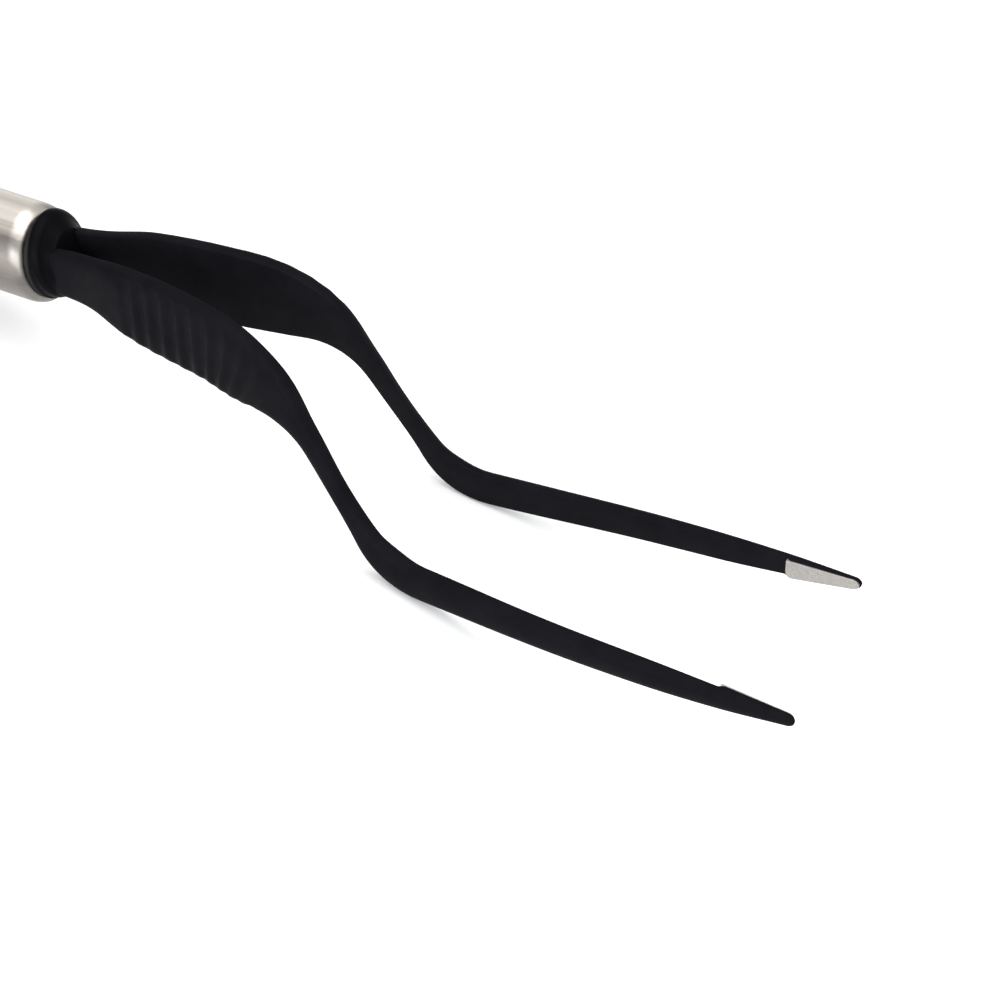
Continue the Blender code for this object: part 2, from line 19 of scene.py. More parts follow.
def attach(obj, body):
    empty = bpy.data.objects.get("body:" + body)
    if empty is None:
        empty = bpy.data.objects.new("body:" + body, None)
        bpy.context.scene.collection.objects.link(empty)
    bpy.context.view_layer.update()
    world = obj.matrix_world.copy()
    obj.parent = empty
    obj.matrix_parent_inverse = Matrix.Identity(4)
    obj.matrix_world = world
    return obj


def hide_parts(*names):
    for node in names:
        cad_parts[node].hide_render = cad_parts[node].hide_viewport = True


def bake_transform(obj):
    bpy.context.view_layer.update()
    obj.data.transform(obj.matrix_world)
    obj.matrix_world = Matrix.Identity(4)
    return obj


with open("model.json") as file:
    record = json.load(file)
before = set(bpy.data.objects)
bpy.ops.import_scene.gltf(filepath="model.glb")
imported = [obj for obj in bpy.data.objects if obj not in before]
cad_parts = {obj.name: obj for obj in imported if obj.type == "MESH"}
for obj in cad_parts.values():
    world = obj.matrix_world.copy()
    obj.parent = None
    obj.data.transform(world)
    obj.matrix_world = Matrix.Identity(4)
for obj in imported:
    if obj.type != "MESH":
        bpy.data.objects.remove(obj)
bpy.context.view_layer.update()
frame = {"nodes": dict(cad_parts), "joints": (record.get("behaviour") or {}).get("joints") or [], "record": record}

MM = 0.001

# Arm centre line in the tool's X-Z plane, and its two rounded corners
KNEE = (32.1, 0.0)
HEEL = (47.0, -24.4)
TIP = (100.0, -21.3)
KNEE_RADIUS = 19.0
HEEL_RADIUS = 9.0

# Arm profiles as (length along the centre line, size) points: how far the arm reaches above and below the
# centre line, its inner face's distance from the middle plane, its thickness, and the power of its outline.
ABOVE = ((-3.0, 2.9), (0.9, 3.6), (4.7, 4.2), (9.4, 5.1), (15.7, 5.4), (23.5, 5.05), (31.4, 3.75),
         (38.5, 1.4), (45.0, 1.2), (52.0, 1.7), (58.5, 2.95), (63.0, 2.85), (76.0, 2.35), (93.0, 1.9),
         (101.3, 1.45), (111.0, 0.8))
BELOW = ((-3.0, 2.9), (0.9, 3.05), (4.7, 3.0), (7.6, 3.9), (10.0, 4.85), (15.7, 5.5), (23.5, 5.75),
         (28.0, 5.2), (34.0, 2.7), (38.5, 1.7), (45.0, 1.45), (52.0, 1.15), (60.0, 1.85), (76.0, 2.05),
         (93.0, 1.95), (101.3, 1.5), (111.0, 0.65))
INNER = ((-3.0, 1.7), (0.0, 1.7), (7.9, 2.7), (18.9, 4.1), (31.4, 6.2), (45.0, 7.5), (58.5, 8.3),
         (84.7, 10.5), (111.0, 11.6))
THICK = ((-3.0, 1.9), (2.0, 1.9), (9.5, 2.3), (25.0, 2.5), (34.0, 2.3), (45.0, 1.8), (58.5, 2.1),
         (84.0, 1.9), (101.0, 1.5), (111.0, 0.75))
SQUARE = ((-3.0, 4.0), (27.0, 4.0), (40.0, 2.4), (111.0, 2.4))
SMOOTH_OVER = 1.5
EVEN_FROM = 62.0
EDGE_BREAK = 0.3
EDGE_SHARE = 0.4
SHOULDER = 1.2
ARM_REAR = -2.4
TIP_ROUND = 0.9
TIP_THIN = 0.35
COAT = 0.42

# The grooves are full up to RIB_FULL of the arm's reach above its centre line, and gone at RIB_END. From
# RIB_FADE_FROM to RIB_FADE_TO of its reach below, they lose the share RIB_FADE of their depth.
RIB_COUNT = 10
RIB_START = 9.6
RIB_PITCH = 2.25
RIB_DEPTH = 0.35
RIB_TOP = 0.85
RIB_FULL = RIB_TOP - 0.02
RIB_END = RIB_TOP + 0.14
RIB_FADE = 0.6
RIB_FADE_FROM = 0.6
RIB_FADE_TO = 0.95

# The bare contact tip, let into the coat's inner face, with a rounded lower rear corner
PAD_LENGTH = 9.2
PAD_RAISE = (0.42, 0.1)
PAD_RAMP = 0.9
PAD_RAMP_BEHIND = 0.4 * PAD_RAMP
PAD_RAMP_AHEAD = 0.6 * PAD_RAMP
PAD_RIM = (0.06, 0.05)
PAD_WRAP = 0.18
CORNER = (0.8, 1.2)
PAD_PROUD = 0.08
PAD_CHAMFER = 0.04
PAD_MID = 0.45
PAD_BACK = 0.6
POCKET_OPEN = 1.5
SEAM = 0.02

# Points round an arm's outside, and round each broken edge of its inner face
OUTSIDE_POINTS = 33
EDGE_ANGLES = tuple(math.radians(angle) for angle in (0, 30, 60, 90))

# The barrel's mouth and the collar's nose lean back at the top by RAKE for each millimetre of height. The
# nose is also lifted by BEAD_RISE, and by the share LIFT_GROWTH more for each millimetre of height. On the
# bead's rear face, within REAR_FACE_BAND, the lift comes in over RIM_WIDTH outside the spigot.
BARREL_R = 6.0
BORE_R = 4.7
BARREL_FRONT = -3.45
BARREL_REAR = -46.9
MOUTH = (1.8, 0.9)
RAKE = 0.24
RAKE_MARGIN = 0.1
REAR_FACE_BAND = 0.12
RIM_WIDTH = 0.4
BEAD_R = 5.0
BEAD_RISE = 0.75
BEAD_FRONT = (1.0, 0.9)
BEAD_BACK = 0.3
LIFT_GROWTH = 0.13
FACE_R = 3.1
FACE_EDGE = 0.35
SPIGOT_R = 4.5
SPIGOT_REAR = -9.5
SLOT_ROOM = 0.04
BARREL_RIM = 0.35
GASKET_ROOM = 0.6
FLANGE_R = 5.6
FLANGE_CHAMFER = 0.1
FLANGE_FILLET = 0.6
PLUG_FRONT = -40.9
PLUG_CHAMFER = 0.4
REAR_FACE = -50.5
PIN_Y = 2.65
PIN_R = 1.0
PIN_REAR = REAR_FACE - 11.0
PIN_ROOM = 0.04
PIN_CHAMFER = 0.05
PIN_TAIL_FRONT = -37.2
PIN_TAIL_R = 0.62
SCREW_X = BARREL_REAR + 2.6
SCREW_R = 0.85
PIVOT_X = -1.2

SIDES = (("left", 1.0), ("right", -1.0))


def tool_frame():
    """Matrix from the tool frame, in metres, to the world, read off the two hinges."""
    joints = {joint["name"]: joint for joint in frame["joints"]}
    up = Vector(joints["right_flex"]["axis"]).normalized()
    left, right = (Vector(joints[name]["pos_m"]) for name in ("left_flex", "right_flex"))
    side = (left - right).normalized()
    forward = side.cross(up)
    origin = (left + right) / 2 - forward * PIVOT_X * MM
    turn = Matrix((forward, side, up)).transposed().to_4x4()
    return Matrix.Translation(origin) @ turn


TOOL = tool_frame()


def place(x, y, z):
    """World point of a point of the tool frame given in millimetres."""
    return TOOL @ (Vector((x, y, z)) * MM)


# ---------------------------------------------------------------- arm shape


def through(points, at):
    """Monotone cubic curve through (length, size) points, read at the length `at`."""
    x, y = np.array(points, dtype=float).T
    step = np.diff(x)
    rise = np.diff(y) / step
    slope = np.zeros_like(y)
    slope[0] = rise[0]
    slope[-1] = rise[-1]
    for i in range(1, len(x) - 1):
        if rise[i - 1] * rise[i] > 0:
            before = 2 * step[i] + step[i - 1]
            after = step[i] + 2 * step[i - 1]
            slope[i] = (before + after) / (before / rise[i - 1] + after / rise[i])
    i = int(np.clip(np.searchsorted(x, at) - 1, 0, len(step) - 1))
    t = (at - x[i]) / step[i]
    return float(
        (1 + 2 * t) * (1 - t) ** 2 * y[i]
        + t * (1 - t) ** 2 * step[i] * slope[i]
        + t * t * (3 - 2 * t) * y[i + 1]
        + t * t * (t - 1) * step[i] * slope[i + 1]
    )


def smooth_size(points, at):
    """The same curve averaged over a short length, which takes the last unevenness out of it."""
    before, after = through(points, at - SMOOTH_OVER), through(points, at + SMOOTH_OVER)
    return (before + 2 * through(points, at) + after) / 4


def heading(start, end):
    """Slope of the straight line between two (x, z) points."""
    return math.atan2(end[1] - start[1], end[0] - start[0])


def centre_line_legs():
    """The centre line as (length, start slope, turn) legs, from the collar's face to the tip."""
    grip, ramp, reach = heading((0.0, 0.0), KNEE), heading(KNEE, HEEL), heading(HEEL, TIP)
    knee_cut = KNEE_RADIUS * math.tan(abs(ramp - grip) / 2)
    heel_cut = HEEL_RADIUS * math.tan(abs(reach - ramp) / 2)
    return (
        (math.dist((0.0, 0.0), KNEE) - knee_cut, grip, 0.0),
        (KNEE_RADIUS * abs(ramp - grip), grip, ramp - grip),
        (math.dist(KNEE, HEEL) - knee_cut - heel_cut, ramp, 0.0),
        (HEEL_RADIUS * abs(reach - ramp), ramp, reach - ramp),
        (math.dist(HEEL, TIP) - heel_cut, reach, 0.0),
    )


LEGS = centre_line_legs()
ARM_LENGTH = sum(leg[0] for leg in LEGS)
PAD_START = ARM_LENGTH - PAD_LENGTH


def centre_line(s):
    """Point (x, z) and slope of the centre line at the length s."""
    x = z = 0.0
    left = s
    for index, (length, slope, turn) in enumerate(LEGS):
        last = index == len(LEGS) - 1
        run = left if last else min(left, length)
        bend = turn * run / length
        chord = run if turn == 0.0 else 2 * length / turn * math.sin(bend / 2)
        x += chord * math.cos(slope + bend / 2)
        z += chord * math.sin(slope + bend / 2)
        left -= run
        if left <= 0.0:
            break
    return x, z, slope + bend


def tip_scale(s):
    """1 along the arm, falling to 0 round the tip's end."""
    into = max(0.0, (s - (ARM_LENGTH - TIP_ROUND)) / TIP_ROUND)
    return math.sqrt(max(0.0, 1.0 - into * into))


def step_up(value, low, high):
    """Smooth step from 0 at low to 1 at high. It falls instead where low is the larger one."""
    t = min(1.0, max(0.0, (value - low) / (high - low)))
    return t * t * (3 - 2 * t)


def contact_face(s):
    """Distance of the contact tip's flat inner face from the tool's middle plane."""
    start, end = (through(INNER, at) - raised for at, raised in zip((PAD_START, ARM_LENGTH), PAD_RAISE))
    return start + (end - start) * (s - PAD_START) / PAD_LENGTH - PAD_PROUD


def pad_rise(s):
    """How far the coat stands in at the length s to carry the contact tip."""
    rise = through(INNER, s) - contact_face(s) - PAD_PROUD
    return rise * step_up(s, PAD_START - PAD_RAMP_BEHIND, PAD_START + PAD_RAMP_AHEAD)


def rib_groove(s):
    """0 on the crest of a rib or off the ribs, 1 at the bottom of a groove."""
    turn = (s - RIB_START) / RIB_PITCH
    if turn < 0.0 or turn > RIB_COUNT:
        return 0.0
    return 0.5 - 0.5 * math.cos(2 * math.pi * turn)


def ring(s, side, wall, ribs=False):
    """Section of an arm at the length s, `wall` smaller all round.

    It is flat towards the other arm and rounded outside.
    """
    x, z, slope = centre_line(s)
    close = tip_scale(s)
    above = smooth_size(ABOVE, s) * close - wall
    below = smooth_size(BELOW, s) * close - wall
    rise = pad_rise(s)
    half = through(THICK, s) / 2
    middle = through(INNER, s) + half
    half = half * (TIP_THIN + (1.0 - TIP_THIN) * close) - wall
    power = 2.0 / through(SQUARE, s)
    edge = min(EDGE_BREAK, EDGE_SHARE * half, EDGE_SHARE * above, EDGE_SHARE * below)
    shoulder = -half + SHOULDER * edge
    section = []
    for angle in EDGE_ANGLES:
        face = -half - rise + edge - edge * math.cos(angle)
        section.append((above - edge + edge * math.sin(angle), face))
    for step in range(OUTSIDE_POINTS):
        angle = math.pi * step / (OUTSIDE_POINTS - 1)
        across = math.copysign(abs(math.cos(angle)) ** power, math.cos(angle))
        out = abs(math.sin(angle)) ** power
        up = across * (above if across > 0 else below)
        reach = shoulder + out * (half - shoulder)
        if ribs:
            groove = rib_groove(s) * RIB_DEPTH
            groove *= 1.0 - RIB_FADE * step_up(-across, RIB_FADE_FROM, RIB_FADE_TO)
            reach -= groove * out * step_up(across, RIB_END, RIB_FULL)
        section.append((up, reach))
    for angle in EDGE_ANGLES:
        face = -half - rise + edge - edge * math.sin(angle)
        section.append((-below + edge - edge * math.cos(angle), face))
    return [
        place(x - math.sin(slope) * up, side * (middle + reach), z + math.cos(slope) * up)
        for up, reach in section
    ]


def lengths(start, stretches):
    """Lengths from start on, even within each (end, largest spacing) stretch."""
    marks = [start]
    for end, spacing in stretches:
        count = max(1, math.ceil((end - marks[-1]) / spacing))
        marks += list(np.linspace(marks[-1], end, count + 1))[1:]
    return marks


def outside_marks():
    """Lengths of the coat's outer sections: close at the ribs, the contact tip and the rounded end."""
    marks = lengths(ARM_REAR, (
        (RIB_START, 0.6),
        (RIB_START + RIB_COUNT * RIB_PITCH, RIB_PITCH / 14),
        (EVEN_FROM, 0.6),
        (PAD_START - 0.7, 1.2),
        (PAD_START + 0.9, 0.1),
        (ARM_LENGTH - TIP_ROUND, 0.6),
    ))
    round_end = [TIP_ROUND * (1 - math.sin(math.radians(angle))) for angle in range(9, 88, 9)]
    return marks + [ARM_LENGTH - short for short in round_end]


def contact_rings(side, grow, opened=False):
    """Sections of the contact tip, `grow` larger all round. An opened one runs out through the coat."""
    rings = []
    first, last = PAD_START - grow, ARM_LENGTH - PAD_WRAP + grow
    corner_length, corner_height = CORNER
    stretches = ((first + corner_length, 0.06), (last - TIP_ROUND, 0.8), (last - 0.03, 0.09))
    for s in lengths(first, stretches):
        x, z, slope = centre_line(s)
        close = tip_scale(s + PAD_WRAP - grow)
        lead = max(0.0, 1.0 - (s - first) / corner_length)
        lift = corner_height * (1.0 - math.sqrt(max(0.0, 1.0 - lead * lead)))
        above = (smooth_size(ABOVE, s) - PAD_RIM[0]) * close + grow
        below = (smooth_size(BELOW, s) - PAD_RIM[1]) * close + grow - lift
        face = contact_face(s)
        back = through(INNER, s) + through(THICK, s) - COAT + grow
        front = face - POCKET_OPEN if opened else face
        chamfer = 0.0 if opened else PAD_CHAMFER * close
        mid = face + PAD_MID * (back - face)
        section = [(above - chamfer, front), (above, front + chamfer), (above, mid)]
        section += [(PAD_BACK * above, back), (-PAD_BACK * below, back)]
        section += [(-below, mid), (-below, front + chamfer), (-below + chamfer, front)]
        rings.append([
            place(x - math.sin(slope) * up, side * across, z + math.cos(slope) * up)
            for up, across in section
        ])
    return rings


# ---------------------------------------------------------------- mesh tools


def solid(name, mesh, look, smooth_angle=40):
    """New object from a bmesh in world coordinates, faces pointing out, shaded smooth."""
    bmesh.ops.recalc_face_normals(mesh, faces=mesh.faces)
    data = bpy.data.meshes.new(name)
    mesh.to_mesh(data)
    mesh.free()
    data.materials.append(look)
    obj = bpy.data.objects.new(name, data)
    bpy.context.scene.collection.objects.link(obj)
    smooth(obj, smooth_angle)
    return obj


def smooth(obj, angle=40):
    """Smooth shading, with edges sharper than the angle left sharp."""
    obj.data.shade_smooth()
    obj.data.set_sharp_from_angle(angle=math.radians(angle))


def skin(mesh, rings):
    """Quads between successive rings. Returns the rings as vertices."""
    rows = [[mesh.verts.new(point) for point in one] for one in rings]
    for row, after in zip(rows, rows[1:]):
        bridge(mesh, row, after)
    return rows


def bridge(mesh, row, after):
    """Closed band of quads between two rows of vertices."""
    for i in range(len(row)):
        j = (i + 1) % len(row)
        mesh.faces.new((row[i], row[j], after[j], after[i]))


def loft(name, rings, look):
    """Closed solid through a list of rings."""
    mesh = bmesh.new()
    rows = skin(mesh, rings)
    mesh.faces.new(reversed(rows[0]))
    mesh.faces.new(rows[-1])
    return solid(name, mesh, look)


def cut(obj, cutters):
    """Takes the cutters out of an object, and removes them."""
    for cutter in cutters:
        trim = obj.modifiers.new("cut", "BOOLEAN")
        trim.operation = "DIFFERENCE"
        trim.solver = "EXACT"
        trim.object = cutter
    bpy.context.view_layer.update()
    graph = bpy.context.evaluated_depsgraph_get()
    baked = bpy.data.meshes.new_from_object(obj.evaluated_get(graph))
    obj.modifiers.clear()
    obj.data = baked
    for cutter in cutters:
        bpy.data.objects.remove(cutter)
    smooth(obj)


def turned(name, profile, look, steps=96, line=(0.0, 0.0)):
    """Solid turned about a line along X through (y, z) = line, from (x, radius) points.

    A profile that starts on the axis also ends on it. One that starts off it closes on itself.
    """
    mesh = bmesh.new()
    closed = profile[0][1] > 0.0
    body = profile if closed else profile[1:-1]
    rings = []
    for x, radius in body:
        rings.append([
            place(x, line[0] + radius * math.cos(2 * math.pi * i / steps),
                  line[1] + radius * math.sin(2 * math.pi * i / steps))
            for i in range(steps)
        ])
    rows = skin(mesh, rings)
    if closed:
        bridge(mesh, rows[-1], rows[0])
    else:
        for row, (x, _) in ((rows[0], profile[0]), (rows[-1], profile[-1])):
            pole = mesh.verts.new(place(x, *line))
            for i in range(steps):
                mesh.faces.new((row[i], row[(i + 1) % steps], pole))
    return solid(name, mesh, look)


def rod(name, start, end, radius, sides, look):
    """Cylinder between two points of the tool frame."""
    start, end = place(*start), place(*end)
    mesh = bmesh.new()
    along = (end - start).to_track_quat("Z", "Y").to_matrix().to_4x4()
    bmesh.ops.create_cone(
        mesh,
        cap_ends=True,
        segments=sides,
        radius1=radius * MM,
        radius2=radius * MM,
        depth=(end - start).length,
        matrix=Matrix.Translation((start + end) / 2) @ along,
    )
    return solid(name, mesh, look)


def arc(centre, radii, start, end, count):
    """(x, radius) points on an ellipse arc, angles in degrees from +X."""
    return [
        (centre[0] + radii[0] * math.cos(angle), centre[1] + radii[1] * math.sin(angle))
        for angle in (math.radians(degrees) for degrees in np.linspace(start, end, count))
    ]


# ---------------------------------------------------------------- materials


class Look:
    """A Principled material with helpers for the procedural nodes that feed it."""

    def __init__(self, name, roughness, metallic=0.0, specular=0.5):
        self.material = bpy.data.materials.new(name)
        self.material.use_nodes = True
        self.nodes = self.material.node_tree.nodes
        self.links = self.material.node_tree.links
        self.shader = self.nodes["Principled BSDF"]
        self.shader.inputs["Roughness"].default_value = roughness
        self.shader.inputs["Metallic"].default_value = metallic
        self.shader.inputs["Specular IOR Level"].default_value = specular
        self.coordinates = self.nodes.new("ShaderNodeTexCoord").outputs["Object"]

    def tool_aligned(self, scale=(1.0, 1.0, 1.0)):
        """Object coordinates turned into the tool frame, then scaled."""
        turn = self.nodes.new("ShaderNodeMapping")
        turn.vector_type = "POINT"
        turn.inputs["Location"].default_value = TOOL.inverted().translation
        turn.inputs["Rotation"].default_value = TOOL.inverted().to_euler()
        self.links.new(self.coordinates, turn.inputs["Vector"])
        stretch = self.nodes.new("ShaderNodeMapping")
        stretch.inputs["Scale"].default_value = scale
        self.links.new(turn.outputs["Vector"], stretch.inputs["Vector"])
        return stretch.outputs["Vector"]

    def compute(self, operation, first, second=None):
        """Result of a Math node on sockets or plain numbers."""
        node = self.nodes.new("ShaderNodeMath")
        node.operation = operation
        for value, into in zip((first, second), node.inputs):
            if isinstance(value, float):
                into.default_value = value
            elif value is not None:
                self.links.new(value, into)
        return node.outputs["Value"]

    def height_round_axis(self):
        """Angle about the tool's X axis, the same on both sides: 0 underneath, 1 on top."""
        split = self.nodes.new("ShaderNodeSeparateXYZ")
        self.links.new(self.tool_aligned(), split.inputs["Vector"])
        sideways = self.compute("ABSOLUTE", split.outputs["Y"])
        angle = self.compute("ARCTAN2", split.outputs["Z"], sideways)
        return self.compute("ADD", self.compute("MULTIPLY", angle, 1.0 / math.pi), 0.5)

    def noise(self, scale, detail=3.0, roughness=0.55, vector=None):
        """Noise texture, on object coordinates unless others are given."""
        node = self.nodes.new("ShaderNodeTexNoise")
        node.inputs["Scale"].default_value = scale
        node.inputs["Detail"].default_value = detail
        node.inputs["Roughness"].default_value = roughness
        self.links.new(vector or self.coordinates, node.inputs["Vector"])
        return node.outputs["Fac"]

    def ramp(self, fac, stops):
        """Colour ramp on fac from (position, colour) stops, into the base colour."""
        node = self.nodes.new("ShaderNodeValToRGB")
        while len(node.color_ramp.elements) < len(stops):
            node.color_ramp.elements.new(0.5)
        for element, (position, colour) in zip(node.color_ramp.elements, stops):
            element.position = position
            element.color = (*colour, 1.0)
        self.links.new(fac, node.inputs["Fac"])
        self.links.new(node.outputs["Color"], self.shader.inputs["Base Color"])

    def paint_shade_beyond(self, start, end, least):
        """Painted shade: base colour falls to `least` of itself from start to end, in millimetres along the raked
        X.
        """
        split = self.nodes.new("ShaderNodeSeparateXYZ")
        self.links.new(self.tool_aligned(), split.inputs["Vector"])
        along = self.compute("ADD", split.outputs["X"], self.compute("MULTIPLY", split.outputs["Z"], RAKE))
        fade = self.nodes.new("ShaderNodeMapRange")
        fade.interpolation_type = "SMOOTHSTEP"
        fade.inputs["From Min"].default_value = start * MM
        fade.inputs["From Max"].default_value = end * MM
        fade.inputs["To Min"].default_value = 1.0
        fade.inputs["To Max"].default_value = least
        self.links.new(along, fade.inputs["Value"])
        scale = self.nodes.new("ShaderNodeVectorMath")
        scale.operation = "SCALE"
        base = self.shader.inputs["Base Color"]
        self.links.new(base.links[0].from_socket, scale.inputs[0])
        self.links.new(fade.outputs["Result"], scale.inputs["Scale"])
        self.links.new(scale.outputs["Vector"], base)

    def vary_roughness(self, fac, low, high):
        """Roughness follows fac from low to high."""
        node = self.nodes.new("ShaderNodeMapRange")
        node.inputs["From Min"].default_value = 0.3
        node.inputs["From Max"].default_value = 0.7
        node.inputs["To Min"].default_value = low
        node.inputs["To Max"].default_value = high
        self.links.new(fac, node.inputs["Value"])
        self.links.new(node.outputs["Result"], self.shader.inputs["Roughness"])

    def bump(self, fac, height_mm, strength=1.0):
        """Adds a bump of that height to the ones already there."""
        node = self.nodes.new("ShaderNodeBump")
        node.inputs["Strength"].default_value = strength
        node.inputs["Distance"].default_value = height_mm * MM
        self.links.new(fac, node.inputs["Height"])
        into = self.shader.inputs["Normal"]
        if into.is_linked:
            self.links.new(into.links[0].from_socket, node.inputs["Normal"])
        self.links.new(node.outputs["Normal"], into)


def coat_look():
    """Satin black nylon coat: fine orange peel, a dusting of grain."""
    look = Look("coat_nylon", 0.5, specular=0.02)
    dark, light = (0.0042, 0.0042, 0.0056), (0.0066, 0.0066, 0.0082)
    look.ramp(look.noise(260.0, 4.0), ((0.3, dark), (0.75, light)))
    look.vary_roughness(look.noise(900.0, 3.0), 0.44, 0.56)
    look.bump(look.noise(1300.0, 2.0), 0.02, 0.6)
    look.bump(look.noise(5200.0, 2.0, 0.7), 0.006, 0.8)
    return look.material


def moulded_look(name, low, high, roughness):
    """Moulded plastic: even colour, faint flow marks and a fine matt grain."""
    look = Look(name, roughness, specular=0.03)
    look.ramp(look.noise(180.0, 3.0), ((0.3, low), (0.7, high)))
    look.vary_roughness(look.noise(700.0, 2.0), roughness - 0.06, roughness + 0.06)
    look.bump(look.noise(4200.0, 3.0, 0.65), 0.008, 0.7)
    return look.material


def barrel_look():
    """Satin steel, polished lengthways in fine streaks in its roughness and bumps. Its broad bright and dull
    streaks are painted reflections: bands of base colour by the angle round the axis, lightest on top, with a
    wobble.
    """
    look = Look("barrel_steel", 0.3, metallic=1.0)
    streaks = look.tool_aligned((0.03, 1.0, 1.0))
    centred = look.compute("SUBTRACT", look.noise(900.0, 3.0, 0.6, streaks), 0.5)
    waver = look.compute("MULTIPLY", centred, 0.16)
    # Painted reflections: base colour bands by height round the barrel, bright on top and dull below.
    painted_reflection_bands = ((0.2, 0.34), (0.5, 0.17), (0.66, 0.36), (0.76, 0.24), (0.87, 0.68), (0.97, 0.82))
    warm_painted_reflections = [(height, (shade, 0.925 * shade, 0.85 * shade)) for height, shade in painted_reflection_bands]
    look.ramp(look.compute("ADD", look.height_round_axis(), waver), warm_painted_reflections)
    # Painted shade over the rounded mouth, which tones down its highlight.
    look.paint_shade_beyond(BARREL_FRONT - 1.6, BARREL_FRONT - 0.4, 0.75)
    look.vary_roughness(look.noise(900.0, 3.0, 0.6, streaks), 0.34, 0.44)
    look.bump(look.noise(5200.0, 3.0, 0.7, streaks), 0.004, 0.6)
    return look.material


def ground_look(name, low, high, roughness, scale=(1.0, 0.08, 1.0)):
    """Ground steel: fine scratches along one of the tool's directions, with a light mottle."""
    look = Look(name, roughness, metallic=1.0)
    scratches = look.tool_aligned(scale)
    look.ramp(look.noise(3800.0, 4.0, 0.75, scratches), ((0.25, low), (0.8, high)))
    look.vary_roughness(look.noise(1500.0, 3.0), roughness - 0.07, roughness + 0.07)
    look.bump(look.noise(7000.0, 2.0, 0.7, scratches), 0.004, 0.7)
    return look.material


def turned_metal_look(name, low, high, roughness):
    """Turned and plated metal: fine rings round the X direction."""
    look = Look(name, roughness, metallic=1.0)
    rings = look.tool_aligned((1.0, 0.02, 0.02))
    look.ramp(look.noise(6000.0, 3.0, 0.7, rings), ((0.3, low), (0.7, high)))
    look.vary_roughness(look.noise(900.0, 2.0), roughness - 0.05, roughness + 0.08)
    look.bump(look.noise(9000.0, 2.0, 0.6, rings), 0.003, 0.6)
    return look.material


def floor_look():
    look = Look("pale_floor", 0.7, specular=0.2)
    look.ramp(look.noise(3.0, 2.0), ((0.3, (0.92, 0.92, 0.92)), (0.7, (0.94, 0.94, 0.94))))
    return look.material


# One look for each material slot of the record: name, darkest and lightest colour, roughness
LOOKS = {
    "black_coat": coat_look(),
    "black_collar": moulded_look(
        "collar_plastic", (0.0012, 0.0013, 0.002), (0.0024, 0.0025, 0.0032), 0.42
    ),
    "spring_steel": ground_look("ground_steel", (0.42, 0.42, 0.43), (0.6, 0.6, 0.6), 0.32),
    "satin_steel": barrel_look(),
    "bare_tip": ground_look("bare_tip_steel", (0.25, 0.238, 0.226), (0.42, 0.398, 0.378), 0.42),
    "black_rubber": moulded_look("gasket_rubber", (0.012, 0.012, 0.012), (0.022, 0.022, 0.022), 0.72),
    "insulator": moulded_look("insulator_plastic", (0.011, 0.011, 0.012), (0.019, 0.019, 0.02), 0.5),
    "insulating_sleeve": moulded_look("sleeve_plastic", (0.22, 0.02, 0.014), (0.32, 0.03, 0.02), 0.45),
    "tinned_ferrule": turned_metal_look("tinned_metal", (0.6, 0.6, 0.57), (0.78, 0.77, 0.73), 0.35),
    "contact_pin": turned_metal_look("plated_pin", (0.68, 0.5, 0.22), (0.86, 0.68, 0.36), 0.22),
}


# ---------------------------------------------------------------- pieces


def make_coat(word, side):
    """Coat of one arm, hollow round its blade, with a pocket for the contact tip."""
    look = LOOKS["black_coat"]
    mesh = bmesh.new()
    outside = skin(mesh, [ring(s, side, 0.0, ribs=True) for s in outside_marks()])
    cavity = lengths(ARM_REAR, ((8.0, 2.6), (EVEN_FROM, 2.0), (PAD_START + 0.6, 4.0)))
    inside = skin(mesh, [ring(s, side, COAT) for s in cavity])
    mesh.faces.new(outside[-1])
    mesh.faces.new(inside[-1])
    bridge(mesh, outside[0], inside[0])
    coat = solid(f"{word}_coat", mesh, look)
    cut(coat, [loft("pocket", contact_rings(side, SEAM, opened=True), look)])
    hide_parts(f"{word}_coating")
    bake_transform(coat)


def make_contact(word, side):
    """Bare metal tip on the inner face of one arm."""
    tip = loft(f"{word}_bare_tip", contact_rings(side, 0.0), LOOKS["bare_tip"])
    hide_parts(f"{word}_contact_tip")
    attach(tip, f"{word}_arm")


def on_handle(piece, node):
    """Lets a piece stand in for a CAD node of the handle."""
    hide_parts(node)
    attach(piece, "handle")


def rake(obj, behind, rise=0.0):
    """Leans the part of a piece in front of `behind` back by RAKE, and lifts it, most at the top."""
    into = TOOL.inverted()
    for vertex in obj.data.vertices:
        x, y, z = (into @ vertex.co) / MM
        if x > behind:
            rim = min(1.0, max(0.0, (math.hypot(y, z) - SPIGOT_R) / RIM_WIDTH))
            share = 1.0 if x > behind + REAR_FACE_BAND else rim
            lift = share * rise * (1.0 + LIFT_GROWTH * z)
            vertex.co = place(x - RAKE * z, y, z + lift)


def make_collar():
    """Collar with a raked round bead and a flat round-edged face, moulded close round both arms."""
    look = LOOKS["black_collar"]
    shoulder = BARREL_FRONT + GASKET_ROOM
    profile = [(0.0, radius) for radius in (0.0, 1.3, 2.6)]
    profile += arc((-FACE_EDGE, FACE_R), (FACE_EDGE, FACE_EDGE), 75, 45, 3)
    profile += arc((shoulder + 0.5, BEAD_R - BEAD_FRONT[1]), BEAD_FRONT, 15, 90, 12)
    profile += arc((shoulder + BEAD_BACK, BEAD_R - BEAD_BACK), (BEAD_BACK, BEAD_BACK), 90, 150, 5)
    profile += [(shoulder, BEAD_R - 0.2), (shoulder, SPIGOT_R)]
    profile += [(SPIGOT_REAR, SPIGOT_R), (SPIGOT_REAR, 0.0)]
    collar = turned("collar", profile, look)
    rake(collar, shoulder - RAKE_MARGIN, BEAD_RISE)
    marks = lengths(ARM_REAR - 0.4, ((2.0, 0.6),))
    cut(collar, [loft("slot", [ring(s, side, -SLOT_ROOM) for s in marks], look) for _, side in SIDES])
    on_handle(collar, "front_collar")


